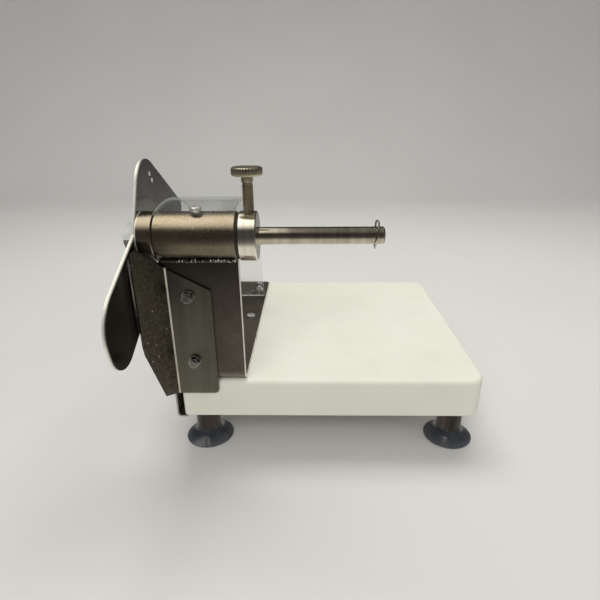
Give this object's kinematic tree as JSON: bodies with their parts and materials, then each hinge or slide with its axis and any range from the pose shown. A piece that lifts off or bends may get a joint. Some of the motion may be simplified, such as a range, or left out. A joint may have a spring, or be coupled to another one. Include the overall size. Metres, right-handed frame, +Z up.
{
  "type": "bench slicer",
  "caption": "Bench slicer: polymer board on suction feet, bent steel channel with a bearing tube, two-lobed lever plate, sliding shaft with lock collar, and clear arched guard.",
  "frame": {"origin": "on the table plane, under the middle of the object's overall box", "axes": "+Z up, +X to the operator's right along the shaft, +Y away from the operator"},
  "size_m": [0.262, 0.2934, 0.2246],
  "materials": {
    "hdpe": "milky white polymer, satin, lightly sawn-textured faces",
    "sheet_steel": "mill-finish stainless sheet, mottled satin",
    "tube_steel": "drawn tube, mottled satin",
    "weld_steel": "weld bead",
    "machined_steel": "turned finish",
    "polished_plate": "polished plate with bright sheared edges",
    "fastener_steel": "plain fastener finish",
    "polymer_black": "black bearing polymer",
    "clear_acrylic": "clear sheet, slightly scratched",
    "cup_rubber": "glossy dark elastomer",
    "leg_steel": "lengthwise brushed"
  },
  "bodies": {
    "frame": {"cutting_board": "hdpe", "channel_frame": "sheet_steel", "bearing_tube": "tube_steel", "tube_weld": "weld_steel", "left_bush": "polymer_black", "right_bush": "polymer_black", "clear_guard": "clear_acrylic", "guard_top_screw": "fastener_steel", "guard_bracket": "clear_acrylic", "guard_bracket_screws": "fastener_steel", "guard_screws": "fastener_steel", "guard_nuts": "fastener_steel", "front_guard_bracket": "sheet_steel", "bracket_screws": "fastener_steel", "bracket_washers": "fastener_steel", "bracket_nuts": "fastener_steel", "side_plate": "sheet_steel", "side_plate_screws": "fastener_steel", "floor_screws": "fastener_steel", "foot_legs": "leg_steel", "foot_studs": "fastener_steel", "suction_cups": "cup_rubber"},
    "collar": {"lock_collar": "machined_steel"},
    "knob": {"thumb_screw": "machined_steel"},
    "shaft": {"shaft_bolt": "machined_steel", "head_washer": "fastener_steel", "end_clip": "fastener_steel"},
    "lever": {"lever_hub": "tube_steel", "lever_plate": "polished_plate"}
  },
  "joints": [
    {"name": "shaft_slide", "type": "slide", "parent": "frame", "child": "shaft", "axis": [-1, 0, 0], "range_m": [0, 0.075]},
    {"name": "lever_turn", "type": "hinge", "parent": "shaft", "child": "lever", "pos_m": [-0.1213, -0.0672, 0.175], "axis": [1, 0, 0], "continuous": true},
    {"name": "collar_turn", "type": "hinge", "parent": "frame", "child": "collar", "pos_m": [-0.0459, -0.0672, 0.175], "axis": [1, 0, 0], "range_deg": [-40, 90]},
    {"name": "thumb_screw_turn", "type": "hinge", "parent": "collar", "child": "knob", "pos_m": [-0.0459, -0.0672, 0.2], "axis": [0, 0, 1], "range_deg": [0, 720]}
  ]
}
